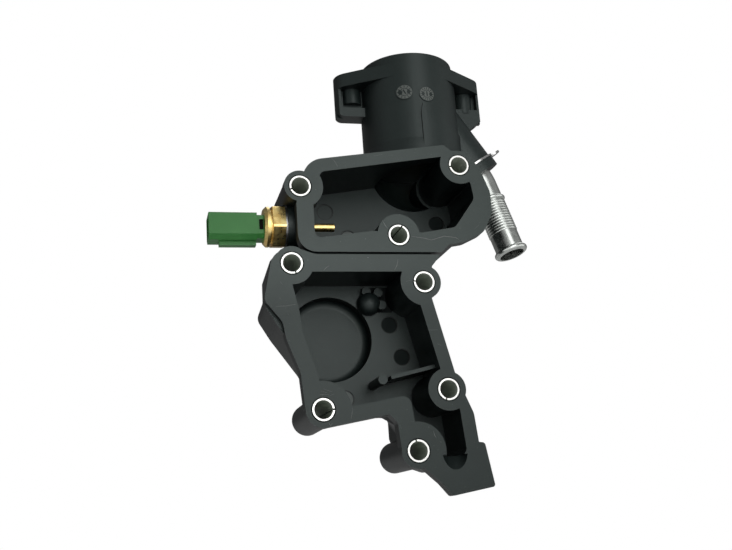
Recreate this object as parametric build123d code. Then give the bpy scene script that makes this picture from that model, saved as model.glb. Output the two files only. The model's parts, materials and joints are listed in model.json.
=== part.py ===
from build123d import *
import math
import os

# Coolant housing with its thermostat, temperature sender and heater pipe, in millimetres.
# The gasket face is the plane y = 0 and looks along -Y. X runs to the right of that face
# and Z runs up to the thermostat neck. The origin is the centre of the middle bolt hole.

# Gasket face and moulded body
flange_thickness = 6.0
wall = 3.4
rib_thickness = 2.4
flange_joint_centre = (-15.0, -9.0)
flange_joint_size = (62.0, 12.0)
upper_floor_depth = 35.0
lower_floor_depth = 27.0
upper_back_depth = upper_floor_depth + wall
lower_back_depth = 39.0
channel_ramp_r = 6.0
channel_ramp_angle = 45.0
channel_ramp_centre = (18.1, -101.2)
channel_end_z = -103.4

# Bolts and their rolled steel sleeves
sleeve_od = 10.0
sleeve_id = 8.4
sleeve_length = 41.0
sleeve_slit = 0.7
sleeve_clearance = 0.05
sleeve_lead_in = 0.55
boss_r = 7.4
bolt_head_r = 8.0
bolt_head_room = 20.0
# name: x, z, land radius on the gasket face, land radius in the chamber, slit angle
BOLTS = {
    "top_left": (-46.1, 23.6, 7.6, 10.9, 200),
    "middle_left": (-51.7, -13.8, 8.0, 10.0, 290),
    "lower_left": (-40.8, -80.7, 8.0, 12.8, 0),
    "bottom": (1.2, -100.6, 7.9, 13.0, 100),
    "lower_right": (17.9, -73.6, 8.3, 9.8, 250),
    "middle_right": (10.5, -22.9, 8.2, 11.5, 175),
    "centre": (0.0, 0.0, 8.0, 10.3, 68),
    "top_right": (33.4, 36.2, 7.5, 9.7, 190),
}

# Outlines on the gasket face: x, z, corner radius
UPPER_FLANGE = [
    (-48.3, -8.4, 8.5), (20.6, -8.4, 0.8), (24.6, -4.5, 3.0), (32.9, -3.1, 8.0),
    (42.8, 1.6, 8.0), (48.2, 11.6, 8.0), (48.3, 22.5, 9.0), (43.8, 35.4, 5.0),
    (36.9, 43.5, 3.0), (30.0, 43.7, 2.0), (26.4, 46.6, 2.0), (-42.4, 36.6, 11.0),
    (-48.3, 15.0, 2.0),
]
UPPER_CHAMBER = [
    (-40.3, -1.9, 3.0), (-13.0, 1.8, 0.0), (12.0, 1.3, 0.0), (28.6, 4.2, 4.0), (39.6, 18.8, 5.0),
    (38.6, 26.5, 2.0), (33.4, 38.0, 0.0), (24.2, 40.3, 0.6), (-35.5, 31.0, 3.0), (-40.3, 22.0, 0.0),
]
LOWER_FLANGE = [
    (-40.4, -9.6, 8.0), (20.0, -9.6, 0.6), (14.4, -16.0, 3.0), (13.4, -30.0, 4.0),
    (21.8, -67.0, 3.0), (26.4, -78.6, 4.0), (28.9, -85.0, 8.0), (30.0, -98.0, 0.5),
    (32.8, -98.3, 1.6), (35.9, -118.0, 1.2), (15.6, -121.0, 1.4), (10.8, -115.2, 5.0),
    (2.0, -107.0, 0.0), (-6.4, -100.0, 0.0), (-7.6, -87.4, 3.4), (-11.0, -84.0, 0.8),
    (-25.0, -86.2, 12.0), (-40.0, -88.6, 0.0), (-48.9, -80.0, 0.0), (-50.2, -64.0, 9.0),
    (-55.8, -49.0, 8.0), (-57.2, -41.0, 6.0), (-65.0, -31.0, 3.5), (-60.6, -10.0, 8.0),
    (-52.0, -5.8, 0.0),
]
LOWER_CHAMBER = [
    (-51.9, -17.9, 0.0), (4.0, -17.9, 0.0), (17.4, -75.5, 0.0), (22.4, -83.2, 1.2),
    (24.0, channel_end_z, 3.0), (12.0, channel_end_z, 3.0), (0.6, -88.0, 0.0), (-0.8, -75.5, 4.0),
    (-27.0, -79.7, 0.0), (-42.0, -80.0, 0.0), (-42.0, -67.0, 3.0), (-48.4, -46.0, 8.0),
    (-49.4, -36.0, 6.0), (-51.9, -24.0, 1.0),
]
UPPER_BODY = [
    (-44.0, -5.4, 5.0), (31.0, -2.6, 8.0), (43.2, 17.0, 5.0), (42.4, 28.0, 4.0),
    (37.0, 35.0, 3.0), (30.0, 44.6, 6.0), (-37.5, 34.2, 6.0), (-44.0, 20.0, 2.0),
]
LOWER_BODY = [
    (-48.6, -9.0, 2.0), (9.2, -9.0, 2.0), (22.4, -68.6, 3.0), (27.6, -83.6, 4.0),
    (29.4, -110.0, 3.0), (13.4, -110.0, 5.0), (1.4, -105.4, 1.0), (-2.9, -92.0, 2.0),
    (-2.9, -82.8, 1.5), (-43.0, -83.2, 3.0), (-44.0, -65.0, 4.0), (-46.0, -60.6, 6.0),
    (-58.6, -42.8, 6.0), (-65.4, -31.4, 7.0), (-61.9, -23.6, 6.0), (-61.8, -10.6, 4.0),
]
lower_body_draft = 2.5
RAMP_BLOCK = [(9.0, -100.0, 0.0), (27.6, -100.0, 0.0), (28.4, -112.6, 5.0), (11.0, -112.6, 6.0)]
ramp_block_depth = 14.0

# Features on the chamber floors
recess_centre = (-30.5, -44.2)
recess_r = 20.8
recess_floor_r = 17.2
recess_depth = 35.8
recess_wall = 3.2
dome_centre = (-10.4, -27.2)
dome_r = 5.8
dome_height = 7.0
dome_stud_r = 2.2
dome_stud_height = 4.0
floor_root = 2.0
floor_rib_thickness = 1.7
DOME_STUDS = [(-11.7, -21.6), (-5.8, -22.2), (-4.4, -28.4)]
post_centre = (-10.9, -67.2)
post_r = 2.2
post_front = 7.0
rib_left = (-7.2, -66.5)
rib_right = (17.5, -61.2)
rib_front = 6.0
pin_mark_r = 4.0
pin_mark_depth = 0.5
UPPER_PIN_MARKS = [(-27.4, 23.0), (-16.1, 9.3), (31.4, 17.3)]
LOWER_PIN_MARKS = [(-0.3, -37.6), (4.8, -53.6), (-24.3, -73.0)]
column_foot_r = 11.2
column_foot_depth = 36.0
column_end = 48.0
DOME_POCKET = [(-13.6, -19.0, 1.0), (2.0, -19.0, 1.0), (2.0, -31.4, 1.0), (-13.6, -31.4, 1.0)]
dome_pocket_depth = 1.2

# Thermostat neck
neck_x = 19.3
neck_y = 29.0
barrel_r = 25.1
neck_bore_r = 21.4
bulb_r = 22.6
bulb_z = 45.6
ear_top_z = 94.0
rim_z = 98.8
rim_r = 24.3
seat_r = 22.8
seat_depth = 4.0
ear_reach = 30.5
ear_r = 8.9
ear_height = 22.5
ear_top_plate = 7.2
ear_bottom_bar = 4.9
ear_side_wall = 2.4
ear_web = 2.4
ear_strap_depth = 9.0
ear_strap_corner = 4.0
EAR_GUSSET = [(60.0, 78.0), (60.0, 73.6), (51.6, 67.0), (42.0, 61.0), (42.0, 78.0)]
insert_boss_r = 4.9
INSERT_BOSS_END = {-1: 79.0, 1: 76.0}
insert_r = 3.6
insert_length = 12.0
insert_thread_r = 2.5
facet_rise = 0.8
FACET = [(17.8, 40.0), (17.8, 66.0), (18.9, 70.6), (21.0, 64.4), (26.4, 60.2), (42.0, 58.8), (42.0, 40.0)]
date_mark_r = 4.1
date_mark_rise = 0.25
DATE_MARKS = [(10.4, 76.9), (21.7, 75.7)]

# Heater pipe branch. The boss lies in the plane y = pipe_plane_y.
pipe_plane_y = 28.25
pipe_bend = (55.7, 38.9)
boss_tilt = 33.3
hose_direction = (0.228, -0.161, -0.960)
hose_length = 43.9
pipe_od = 14.5
pipe_id = 12.6
pipe_bend_r = 20.0
pipe_clearance = 0.1
branch_r = 11.6
branch_length = 32.0
branch_bore_depth = 26.0
branch_to_bend = 8.6
pipe_insertion = 14.0
pipe_end_gap = 0.5
seal_groove_r = 9.6
seal_groove_depth = 5.0
seal_section = 2.2
clip_r = 13.0
clip_thickness = 1.0
clip_eye_reach = 15.9
clip_eye_r = 3.5
clip_eye_hole_r = 2.0
clip_tab_width = 6.0
stack_gap = 0.1
collar_r = 12.4
collar_length = 5.0
collar_flat = 8.6
collar_clearance = 0.4
clip_opening = 10.2
bead_r = 8.3
bead_offset = 13.0
bead_half_length = 1.1
rib_start = 15.6
rib_count = 12
rib_pitch = 1.45
rib_rise = 0.35
rib_half_length = 0.56
bead_root = 0.4
end_bead_r = 8.6
end_bead_length = 3.0

# Temperature sender, on an axis along X
sender_y = 17.0
sender_z = 8.7
sender_boss_r = 10.5
sender_spot_face_r = 10.8
sender_spot_face_x = -62.0
sender_face_x = -51.1
sender_boss_inner_x = -40.3
sender_web_depth = 12.0
sender_web_shift = 9.0
sender_thread_r = 6.0
washer_thickness = 1.0
washer_r = 9.0
hex_across_flats = 19.0
hex_length = 6.0
hex_turn = 13.0
waist_r = 8.0
waist_length = 1.2
crimp_r = 9.7
crimp_length = 2.6
crimp_chamfer = 1.3
probe_r = 2.0
probe_tip_x = -27.4
probe_tip_wall = 1.0
probe_bore_r = 1.2
thermistor_length = 3.0
plug_top_z = 13.9
plug_height = 12.8
plug_depth = 13.0
plug_top_chamfer = 0.4
plug_low_chamfer = 2.3
plug_neck_step = 0.9
plug_step_x = -65.4
plug_end_x = -87.8
plug_wall = 1.6
plug_socket_depth = 15.0
RAIL = (-82.8, -65.6)
rail_width = 4.0
rail_bottom_z = -0.9
window_centre = (-62.9, 8.2)
window_size = (1.9, 4.9)
terminal_width = 1.5
terminal_thickness = 0.8
terminal_spacing = 5.0
terminal_reach = 9.0

# Thermostat
plate_r = 21.9
plate_thickness = 1.2
port_r = 14.4
seal_lip = 0.7
bridge_height = 9.0
bridge_width = 8.0
bridge_foot = 2.2
bridge_half_top = 5.0
bridge_lean = 0.6
valve_r = 15.6
valve_thickness = 1.5
hub_wall = 1.4
hub_height = 4.0
capsule_r = 6.0
capsule_length = 34.0
capsule_rise = 2.0
capsule_neck_r = 3.6
capsule_neck_length = 3.0
piston_r = 1.9
piston_engaged = 11.0
piston_hole = 12.0
frame_drop = 30.0
frame_leg_r = 18.8
frame_thickness = 1.2
frame_leg_width = 7.0
frame_shoulder = 8.0
frame_ring_edge = 2.0
frame_leg_lean = 0.8
spring_wire = 1.6
spring_r = 11.0
spring_turns = 4
valve_gap = 0.1
slide_clearance = 0.3


def on_face(depth):
    """Sketch plane parallel to the gasket face, at this depth behind it."""
    return Plane(origin=(0, depth, 0), x_dir=(1, 0, 0), z_dir=(0, -1, 0))


def prism(sketch, start, end, draft=0):
    """Run a sketch of the gasket face from one depth to another, with an optional draft."""
    if draft:
        return extrude(Plane(origin=(0, start, 0), x_dir=(1, 0, 0), z_dir=(0, 1, 0))
                       * mirror(sketch, about=Plane.XZ), amount=end - start, taper=draft)
    return extrude(on_face(start) * sketch, amount=end - start, dir=(0, 1, 0))


def outline(corners):
    """Closed outline with a radius at each corner."""
    points = [(x, z) for x, z, radius in corners]
    radii = [radius for x, z, radius in corners]
    return make_face(FilletPolyline(*points, radius=radii, close=True))


def disc(x, z, radius):
    return Pos(x, z) * Circle(radius)


def bar(start, end, width):
    """Straight bar between two points of the gasket face."""
    (x0, z0), (x1, z1) = start, end
    angle = math.degrees(math.atan2(z1 - z0, x1 - x0))
    length = math.hypot(x1 - x0, z1 - z0)
    return Pos((x0 + x1) / 2, (z0 + z1) / 2) * Rot(0, 0, angle) * Rectangle(length, width)


def bolt_discs(names, radius=None, column=2):
    """Discs about some of the bolts, with one radius or the one in their table row."""
    return [disc(BOLTS[n][0], BOLTS[n][1], radius or BOLTS[n][column]) for n in names]


UPPER_BOLTS = ["top_left", "centre", "top_right"]
LOWER_BOLTS = ["middle_left", "lower_left", "bottom", "lower_right", "middle_right"]

# Branch axis and hose axis
tilt = math.radians(boss_tilt)
branch_dir = Vector(math.sin(tilt), 0, -math.cos(tilt))
hose_dir = Vector(*hose_direction).normalized()
bend_point = Vector(pipe_bend[0], pipe_plane_y, pipe_bend[1])
branch_mouth = bend_point - branch_dir * branch_to_bend


def across(point, direction):
    """Plane through a point, square to a direction, with its x axis pointing off the neck."""
    side = direction.cross(Vector(0, 1, 0))
    return Plane(origin=point, x_dir=side, z_dir=direction)


def tube(plane, outer, inner, length):
    shape = plane * Circle(outer)
    if inner:
        shape -= plane * Circle(inner)
    return extrude(shape, amount=length)


def neck_cylinder(radius, bottom, top):
    return Pos(neck_x, neck_y, bottom) * Cylinder(
        radius, top - bottom, align=(Align.CENTER, Align.CENTER, Align.MIN))


def along_x(radius, start, end):
    """Cylinder on the sender's axis."""
    plane = Plane(origin=(start, sender_y, sender_z), x_dir=(0, 1, 0), z_dir=(1, 0, 0))
    return extrude(plane * Circle(radius), amount=end - start)


def gasket_flanges():
    upper = outline(UPPER_FLANGE) + bolt_discs(UPPER_BOLTS)
    lower = outline(LOWER_FLANGE) + bolt_discs(LOWER_BOLTS)
    return prism(upper, 0, flange_thickness) + prism(lower, 0, flange_thickness)


def body_block():
    """Walls behind the two flanges, before the chambers are cut."""
    start = flange_thickness / 2
    upper = prism(outline(UPPER_BODY), start, upper_back_depth)
    lower = prism(outline(LOWER_BODY), start, lower_back_depth, lower_body_draft)
    # a web joins the two flanges behind the groove between them
    web = prism(Pos(*flange_joint_centre) * Rectangle(*flange_joint_size), start, upper_back_depth - wall)
    ramp_block = prism(outline(RAMP_BLOCK), start, ramp_block_depth)
    bosses = prism(Sketch() + bolt_discs(BOLTS, boss_r), 0, sleeve_length)
    return upper + lower + web + ramp_block + bosses


def back_pockets():
    """Moulded hollows behind the lower floor, with ribs left between the bosses."""
    skin = lower_floor_depth + wall
    hollow = outline(LOWER_CHAMBER)
    hollow -= disc(*recess_centre, recess_r + recess_wall)
    hollow -= bolt_discs(LOWER_BOLTS, boss_r)
    spots = {name: BOLTS[name][:2] for name in LOWER_BOLTS}
    ribs = [
        bar(recess_centre, spots["middle_right"], rib_thickness),
        bar(recess_centre, spots["lower_right"], rib_thickness),
        bar(spots["lower_right"], spots["bottom"], rib_thickness),
        bar(spots["lower_right"], spots["middle_right"], rib_thickness),
    ]
    for rib in ribs:
        hollow -= rib
    return prism(hollow, skin, lower_back_depth)


def recess():
    """Round recess in the lower floor, with a large radius at its foot."""
    x, z = recess_centre
    depth = recess_depth - lower_floor_depth
    fillet_r = recess_r - recess_floor_r
    with BuildSketch(Plane.XZ) as section:
        with BuildLine():
            Line((0, 1), (recess_r, 1))
            Line((recess_r, 1), (recess_r, fillet_r - depth))
            RadiusArc((recess_r, fillet_r - depth), (recess_floor_r, -depth), fillet_r)
            Line((recess_floor_r, -depth), (0, -depth))
            Line((0, -depth), (0, 1))
        make_face()
    bowl = Pos(x, lower_floor_depth, z) * Rot(90, 0, 0) * revolve(section.sketch, Axis.Z)
    return bowl & prism(outline(LOWER_CHAMBER), lower_floor_depth - 1, recess_depth + 1)


def chambers():
    upper = outline(UPPER_CHAMBER)
    upper -= bolt_discs(UPPER_BOLTS, column=3)
    lower = outline(LOWER_CHAMBER)
    lower -= bolt_discs(LOWER_BOLTS, column=3)
    cut = prism(upper, -1, upper_floor_depth) + prism(lower, -1, lower_floor_depth)
    return cut


def channel_ramp():
    """Round scoop that leads from the gasket face down into the channel's lower end."""
    angle = math.radians(channel_ramp_angle)
    direction = Vector(0, math.cos(angle), math.sin(angle))
    x, z = channel_ramp_centre
    start = Vector(x, 0, z) - direction * 2 * channel_ramp_r
    plane = Plane(origin=start, x_dir=(1, 0, 0), z_dir=direction)
    scoop = extrude(plane * Circle(channel_ramp_r), amount=4 * channel_ramp_r)
    reach = 2 * channel_ramp_r
    return scoop & Pos(x, 0, channel_end_z + 0.5) * Box(
        2 * reach, 4 * reach, 2 * reach, align=(Align.CENTER, Align.CENTER, Align.MAX))


def dome():
    """Bullet-shaped dome on the lower floor, revolved about its own axis."""
    x, z = dome_centre
    straight = dome_height - dome_r + floor_root
    with BuildSketch(Plane.XZ) as section:
        with BuildLine():
            Line((0, 0), (dome_r, 0))
            Line((dome_r, 0), (dome_r, straight))
            RadiusArc((dome_r, straight), (0, straight + dome_r), -dome_r)
            Line((0, straight + dome_r), (0, 0))
        make_face()
    return Pos(x, lower_floor_depth + floor_root, z) * Rot(90, 0, 0) * revolve(section.sketch, Axis.Z)


def floor_features():
    """Dome with studs, post and rib that stand on the lower floor."""
    root = lower_floor_depth + floor_root
    studs = prism(Sketch() + [disc(x, z, dome_stud_r) for x, z in DOME_STUDS],
                  lower_floor_depth - dome_stud_height, root)
    post = prism(disc(*post_centre, post_r), post_front, root)
    rib = prism(bar(rib_left, rib_right, floor_rib_thickness), rib_front, root)
    return [dome(), studs, post, rib]


def pin_marks():
    """Shallow round marks that the mould's ejector pins leave on the floors."""
    upper = Sketch() + [disc(x, z, pin_mark_r) for x, z in UPPER_PIN_MARKS]
    lower = Sketch() + [disc(x, z, pin_mark_r) for x, z in LOWER_PIN_MARKS]
    return (prism(upper, upper_floor_depth - 1, upper_floor_depth + pin_mark_depth)
            + prism(lower, lower_floor_depth - 1, lower_floor_depth + pin_mark_depth))


def neck_outside():
    barrel = neck_cylinder(barrel_r, bulb_z, ear_top_z)
    bulb = Pos(neck_x, neck_y, bulb_z) * Sphere(bulb_r + wall)
    rim = neck_cylinder(rim_r, ear_top_z - 1, rim_z)
    facet = on_barrel(make_face(Polyline(*FACET, close=True)), facet_rise)
    marks = on_barrel(Sketch() + [disc(x, z, date_mark_r) for x, z in DATE_MARKS], date_mark_rise)
    return barrel + bulb + rim + facet + marks + ears()


def on_barrel(sketch, rise):
    """Raised patch on the front of the barrel, with the outline of the sketch."""
    patch = prism(sketch, neck_y - barrel_r - rise - 1, neck_y)
    return patch & neck_cylinder(barrel_r + rise, bulb_z - wall, ear_top_z)


def ear_outline(side):
    """Plan of one ear: its round end drawn to the barrel by two tangents."""
    end_x = neck_x + side * ear_reach
    slope = math.asin((barrel_r - ear_r) / ear_reach)
    points = []
    for front in (-1, 1):
        direction = Vector(side * math.sin(slope), front * math.cos(slope))
        points.append(Vector(neck_x, neck_y) + direction * barrel_r)
        points.append(Vector(end_x, neck_y) + direction * ear_r)
    wedge = make_face(Polyline(points[0], points[1], points[3], points[2], close=True))
    return wedge + Pos(end_x, neck_y) * Circle(ear_r)


def ears():
    """Two screw ears: a thick top plate, a web with a strap round it and the insert's boss."""
    shape = Part()
    base = ear_top_z - ear_height
    for side in (-1, 1):
        end_x = neck_x + side * ear_reach
        plan = ear_outline(side)
        plate = extrude(Plane.XY.offset(ear_top_z - ear_top_plate) * plan, amount=ear_top_plate)
        lower = extrude(Plane.XY.offset(base) * plan, amount=ear_height)
        outer = ear_reach + ear_r
        frame = prism(Pos(neck_x + side * outer / 2, base + ear_height / 2)
                      * RectangleRounded(outer, ear_height, ear_strap_corner),
                      neck_y - ear_strap_depth / 2, neck_y + ear_strap_depth / 2)
        inner = outer - ear_side_wall
        opening = Pos(neck_x + side * inner / 2, neck_y, base + ear_bottom_bar) * Box(
            inner, ear_strap_depth + 1, ear_height, align=(Align.CENTER, Align.CENTER, Align.MIN))
        web = Pos(neck_x + side * outer / 2, neck_y, base) * Box(
            outer, ear_web, ear_height, align=(Align.CENTER, Align.CENTER, Align.MIN))
        holder = Pos(end_x, neck_y, ear_top_z) * Cylinder(
            insert_boss_r, ear_top_z - INSERT_BOSS_END[side],
            align=(Align.CENTER, Align.CENTER, Align.MAX))
        strap = (frame - opening + web) & lower
        shape += plate + strap + holder
    gusset = make_face(Polyline(*EAR_GUSSET, close=True))
    gusset = prism(gusset, neck_y - ear_strap_depth / 2, neck_y + ear_strap_depth / 2)
    room = extrude(Plane.XY.offset(base - ear_height) * ear_outline(1), amount=2 * ear_height)
    return shape + (gusset & room)


def neck_inside():
    bore = neck_cylinder(neck_bore_r, bulb_z, rim_z + 1)
    seat = neck_cylinder(seat_r, rim_z - seat_depth, rim_z + 1)
    bulb = Pos(neck_x, neck_y, bulb_z) * Sphere(bulb_r)
    below = Pos(neck_x, neck_y, bulb_z) * Box(
        3 * bulb_r, 3 * bulb_r, 2 * bulb_r, align=(Align.CENTER, Align.CENTER, Align.MAX))
    return bore + seat + (bulb & below)


def insert_holes():
    holes = Part()
    for side in (-1, 1):
        holes += Pos(neck_x + side * ear_reach, neck_y, ear_top_z) * Cylinder(
            insert_r, insert_length, align=(Align.CENTER, Align.CENTER, Align.MAX))
    return holes


def branch_outside():
    return tube(across(branch_mouth - branch_dir * branch_length, branch_dir), branch_r, 0, branch_length)


def branch_inside():
    bore = tube(across(branch_mouth - branch_dir * branch_bore_depth, branch_dir),
                pipe_id / 2, 0, branch_bore_depth)
    socket = tube(across(branch_mouth - branch_dir * pipe_insertion, branch_dir),
                  pipe_od / 2 + pipe_clearance, 0, pipe_insertion + 1)
    groove = tube(across(branch_mouth - branch_dir * seal_groove_depth, branch_dir),
                  seal_groove_r, 0, seal_groove_depth + 1)
    return bore + socket + groove


def sender_boss():
    """Round boss for the sender, webbed back to the chamber's left wall."""
    boss = along_x(sender_boss_r, sender_face_x, sender_boss_inner_x - wall / 2)
    web = Pos((sender_face_x + sender_boss_inner_x) / 2, sender_y + sender_web_shift, sender_z) * Box(
        sender_boss_inner_x - sender_face_x, sender_web_depth, rib_thickness)
    return boss + web


def sleeve_holes():
    """Bores for the sleeves with a lead-in at the gasket face, and room for the bolt heads."""
    bore_r = sleeve_od / 2 + sleeve_clearance
    holes = prism(Sketch() + bolt_discs(BOLTS, bore_r), -1, sleeve_length + 1)
    heads = prism(Sketch() + bolt_discs(BOLTS, bolt_head_r), sleeve_length, sleeve_length + bolt_head_room)
    for x, z, *rest in BOLTS.values():
        holes += on_face(sleeve_lead_in) * Pos(x, z, 0) * Cone(
            bore_r, bore_r + sleeve_lead_in, sleeve_lead_in,
            align=(Align.CENTER, Align.CENTER, Align.MIN))
    return holes + heads


def make_housing():
    outside = gasket_flanges() + body_block() - back_pockets()
    outside = outside + sender_boss() + neck_outside() + branch_outside()
    body = outside - chambers() - neck_inside() - branch_inside() - recess()
    body -= channel_ramp()
    body += top_right_column()
    body -= dome_pocket()
    for feature in floor_features():
        body += feature
    body -= pin_marks()
    body -= insert_holes()
    body -= along_x(sender_thread_r + sleeve_clearance, sender_face_x - 1, sender_boss_inner_x + wall)
    body -= along_x(sender_spot_face_r, sender_spot_face_x, sender_face_x)
    body -= collar_room()
    body -= sleeve_holes()
    return body


def top_right_column():
    """Column of the top right bolt, which crosses the chamber on a wider foot."""
    x, z, land, column_r, angle = BOLTS["top_right"]
    return (prism(disc(x, z, column_r), flange_thickness, column_end)
            + prism(disc(x, z, column_foot_r), column_foot_depth, column_end))


def dome_pocket():
    """Shallow sunk field round the dome and its studs."""
    field = outline(DOME_POCKET) - bolt_discs(["middle_right"], column=3)
    return prism(field, lower_floor_depth - 1, lower_floor_depth + dome_pocket_depth)


def collar_room():
    """Free room round the clip and the collar."""
    length = clip_thickness + collar_length + 3 * stack_gap + collar_clearance
    return tube(across(branch_mouth, branch_dir), clip_r + collar_clearance, 0, length)


def make_sleeve(name):
    """Sleeve rolled from strip, with the slit where its two edges meet."""
    x, z, land, inner_land, angle = BOLTS[name]
    ring = Circle(sleeve_od / 2) - Circle(sleeve_id / 2)
    slit = Rot(0, 0, angle) * Pos(sleeve_od / 2, 0) * Rectangle(sleeve_od / 2, sleeve_slit)
    return prism(Pos(x, z) * (ring - slit), 0, sleeve_length)


def make_insert(side):
    """Threaded brass insert, moulded flush with the top of an ear."""
    body = Cylinder(insert_r, insert_length, align=(Align.CENTER, Align.CENTER, Align.MAX))
    body -= Cylinder(insert_thread_r, insert_length, align=(Align.CENTER, Align.CENTER, Align.MAX))
    return Pos(neck_x + side * ear_reach, neck_y, ear_top_z) * body


def make_pipe():
    """Steel pipe: a straight end in the branch, a short bend and the ribbed hose end."""
    reach = bend_reach()
    start = branch_mouth - branch_dir * (pipe_insertion - pipe_end_gap)
    path = FilletPolyline(start, bend_point, bend_point + hose_dir * (reach + 1), radius=pipe_bend_r)
    outer = sweep(across(start, branch_dir) * Circle(pipe_od / 2), path=path)
    inner = sweep(across(start, branch_dir) * Circle(pipe_id / 2), path=path)
    plane = across(bend_point + hose_dir * reach, hose_dir)
    body = outer + plane * hose_end(hose_length - reach)
    return body - inner - tube(plane, pipe_id / 2, 0, hose_length)


def hose_end(length):
    """Ribbed hose end, revolved about Z, which runs from 0 to its length."""
    r = pipe_od / 2
    solid = Cylinder(r, length, align=(Align.CENTER, Align.CENTER, Align.MIN))
    with BuildSketch(Plane.XZ) as section:
        with Locations((r - bead_root, bead_offset - bend_reach())):
            Ellipse(bead_r - r + bead_root, bead_half_length)
        for i in range(rib_count):
            with Locations((r, rib_start - bend_reach() + i * rib_pitch)):
                Ellipse(rib_rise, rib_half_length)
        with Locations((r - bead_root, length - end_bead_length / 2)):
            Ellipse(end_bead_r - r + bead_root, end_bead_length / 2)
    return solid + revolve(section.sketch, Axis.Z)


def bend_reach():
    turn = branch_dir.get_angle(hose_dir)
    return pipe_bend_r * math.tan(math.radians(turn / 2))


def make_pipe_seal():
    plane = across(branch_mouth - branch_dir * (seal_groove_depth - seal_section / 2 - 0.1), branch_dir)
    ring_r = pipe_od / 2 + seal_section / 2
    return plane * Torus(ring_r, seal_section / 2)


def make_clip():
    """Flat steel clip across the branch mouth, open on one side, with a pull eye on the other."""
    plane = across(branch_mouth + branch_dir * stack_gap, branch_dir)
    tab_length = clip_eye_reach - pipe_od / 2
    plate = Circle(clip_r) + Pos(clip_eye_reach - tab_length / 2, 0) * Rectangle(tab_length, clip_tab_width)
    plate += Pos(clip_eye_reach, 0) * Circle(clip_eye_r)
    plate -= Circle(pipe_od / 2 + pipe_clearance)
    plate -= Pos(clip_eye_reach, 0) * Circle(clip_eye_hole_r)
    plate -= Pos(-clip_r, 0) * Rectangle(2 * clip_r, clip_opening)
    plate -= Pos(-collar_flat - clip_r, 0) * Rectangle(2 * clip_r, 2 * clip_r)
    return extrude(plane * plate, amount=clip_thickness)


def make_collar():
    """Moulded collar outside the clip, with a flat towards the bolt boss."""
    start = branch_mouth + branch_dir * (clip_thickness + 2 * stack_gap)
    ring = Circle(collar_r) - Circle(pipe_od / 2 + pipe_clearance)
    ring -= Pos(-collar_flat - collar_r, 0) * Rectangle(2 * collar_r, 2 * collar_r)
    return extrude(across(start, branch_dir) * ring, amount=collar_length)


def hex_plane(x):
    return Plane(origin=(x, sender_y, sender_z), x_dir=(0, 1, 0), z_dir=(1, 0, 0))


def make_sender_body():
    """Turned brass body: crimp collar, waist, hexagon, threaded shank and closed probe."""
    seat = sender_face_x - washer_thickness
    hexagon = RegularPolygon(hex_across_flats / 2, 6, major_radius=False)
    hexagon = extrude(hex_plane(hex_start()) * Rot(0, 0, hex_turn) * hexagon, amount=hex_length)
    rounding = along_x(hex_across_flats / math.sqrt(3) - 0.3, hex_start(), seat)
    body = hexagon & rounding
    body += along_x(waist_r, plug_start(), hex_start())
    crimp = along_x(crimp_r, plug_start(), plug_start() + crimp_length)
    body += chamfer(crimp.faces().sort_by(Axis.X)[0].edges(), crimp_chamfer)
    body += along_x(sender_thread_r, seat, sender_boss_inner_x)
    body += along_x(probe_r, sender_boss_inner_x - 1, probe_tip_x)
    return body - along_x(probe_bore_r, plug_start(), probe_tip_x - probe_tip_wall)


def hex_start():
    return sender_face_x - washer_thickness - hex_length


def plug_start():
    return hex_start() - waist_length - crimp_length


def make_thermistor():
    end = probe_tip_x - probe_tip_wall
    return along_x(probe_bore_r, end - thermistor_length, end)


def make_washer():
    start = sender_face_x - washer_thickness
    return along_x(washer_r, start, sender_face_x) - along_x(sender_thread_r, start, sender_face_x)


def plug_section(inset):
    """Cross-section of the plug as it is seen from its free end, with its lower edges cut off."""
    half = plug_depth / 2 - inset
    top = plug_top_z - inset
    low = plug_top_z - plug_height + inset
    upper = plug_top_chamfer
    lower = plug_low_chamfer - inset / 2
    return make_face(Polyline(
        (-half + upper, top), (half - upper, top), (half, top - upper), (half, low + lower),
        (half - lower, low), (-half + lower, low), (-half, low + lower), (-half, top - upper),
        close=True))


def plug_block(inset, start, end):
    plane = Plane(origin=(start, sender_y, 0), x_dir=(0, -1, 0), z_dir=(-1, 0, 0))
    return extrude(plane * plug_section(inset), amount=start - end)


def make_plug():
    """Moulded plug socket with its latch window, key rail and two terminal slots."""
    body = plug_block(plug_neck_step, plug_start(), plug_step_x) + plug_block(0, plug_step_x, plug_end_x)
    socket_floor_x = plug_end_x + plug_socket_depth
    body -= plug_block(plug_wall, socket_floor_x, plug_end_x - 1)
    rail_top = plug_top_z - plug_height + plug_wall / 2
    body += Pos((RAIL[0] + RAIL[1]) / 2, sender_y, rail_top) * Box(
        RAIL[1] - RAIL[0], rail_width, rail_top - rail_bottom_z,
        align=(Align.CENTER, Align.CENTER, Align.MAX))
    x, z = window_centre
    body -= Pos(x, sender_y - plug_depth / 2, z) * Box(window_size[0], 4 * plug_neck_step, window_size[1])
    for side in (-1, 1):
        body -= terminal_box(side)
    return body


def terminal_box(side):
    """One flat terminal, from inside the plug to its tip in the socket."""
    tip_x = plug_end_x + plug_socket_depth - terminal_reach
    return Pos((tip_x + plug_start()) / 2, sender_y, sender_z + side * terminal_spacing / 2) * Box(
        plug_start() - tip_x, terminal_thickness, terminal_width)


def plate_z():
    return rim_z - seat_depth + seal_lip


def make_thermostat_seal():
    """Rubber ring folded round the edge of the thermostat's plate."""
    bottom = rim_z - seat_depth
    top = plate_z() + plate_thickness + seal_lip
    ring = neck_cylinder(seat_r - 0.1, bottom, top) - neck_cylinder(neck_bore_r - 0.6, bottom, top)
    return ring - neck_cylinder(plate_r, plate_z(), plate_z() + plate_thickness)


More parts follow.
